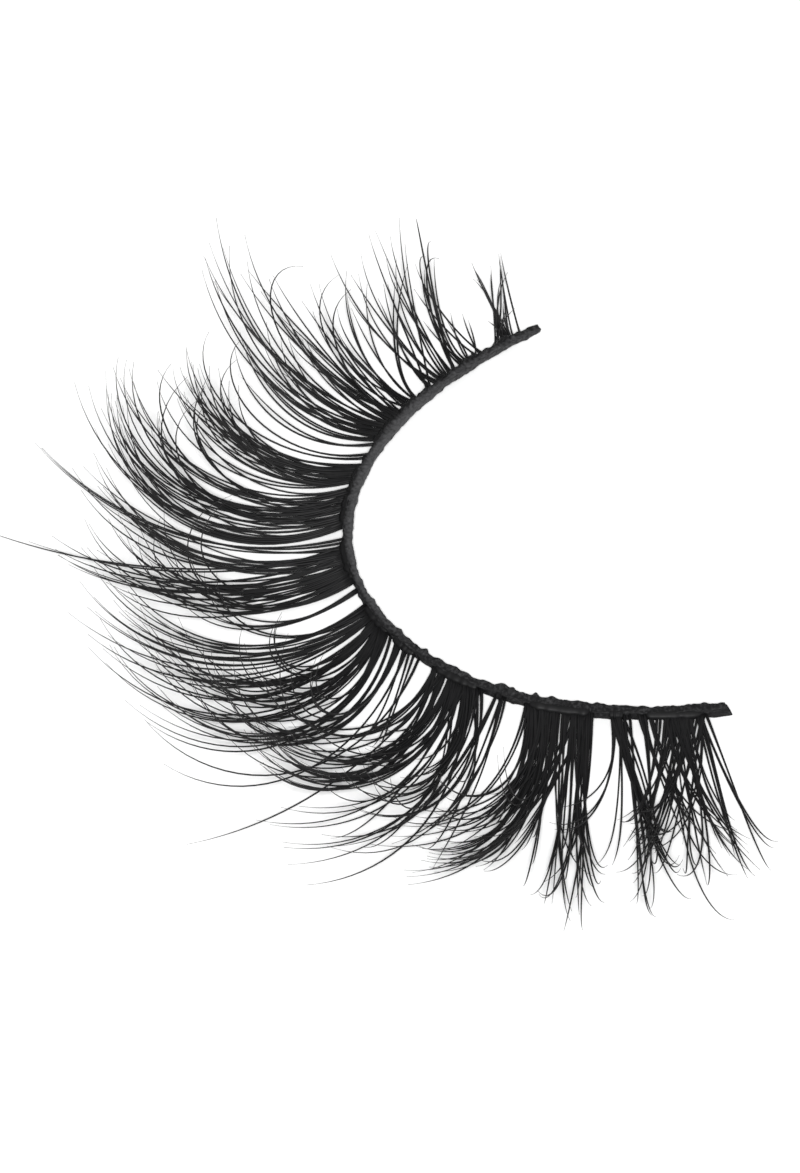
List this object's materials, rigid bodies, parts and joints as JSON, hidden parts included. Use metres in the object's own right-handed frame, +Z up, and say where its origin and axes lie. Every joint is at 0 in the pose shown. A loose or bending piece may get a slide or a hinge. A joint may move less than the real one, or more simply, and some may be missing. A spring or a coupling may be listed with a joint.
{
  "type": "false eyelash strip",
  "caption": "C-shaped false eyelash strip: a thin glued band with curled fans of black fibre along its outer face, short at the inner corner and long toward the outer corner.",
  "frame": {"origin": "under the middle of the strip, on the surface that it lies on", "axes": "+X from the inner corner to the outer corner, -Y forward, the way the middle lashes point, +Z up, the way the lashes curl"},
  "size_m": [0.0366, 0.0228, 0.0067],
  "materials": {
    "band": "black cotton thread stiffened with glue, low sheen",
    "lash_fibre": "black synthetic fibre, soft satin"
  },
  "bodies": {
    "root": {"band": "band", "lash_fan_01": "lash_fibre", "lash_fan_02": "lash_fibre", "lash_fan_03": "lash_fibre", "lash_fan_04": "lash_fibre", "lash_fan_05": "lash_fibre", "lash_fan_06": "lash_fibre", "lash_fan_07": "lash_fibre", "lash_fan_08": "lash_fibre", "lash_fan_09": "lash_fibre", "lash_fan_10": "lash_fibre", "lash_fan_11": "lash_fibre", "lash_fan_12": "lash_fibre", "lash_fan_13": "lash_fibre", "lash_fan_14": "lash_fibre", "lash_fan_15": "lash_fibre"}
  },
  "joints": []
}
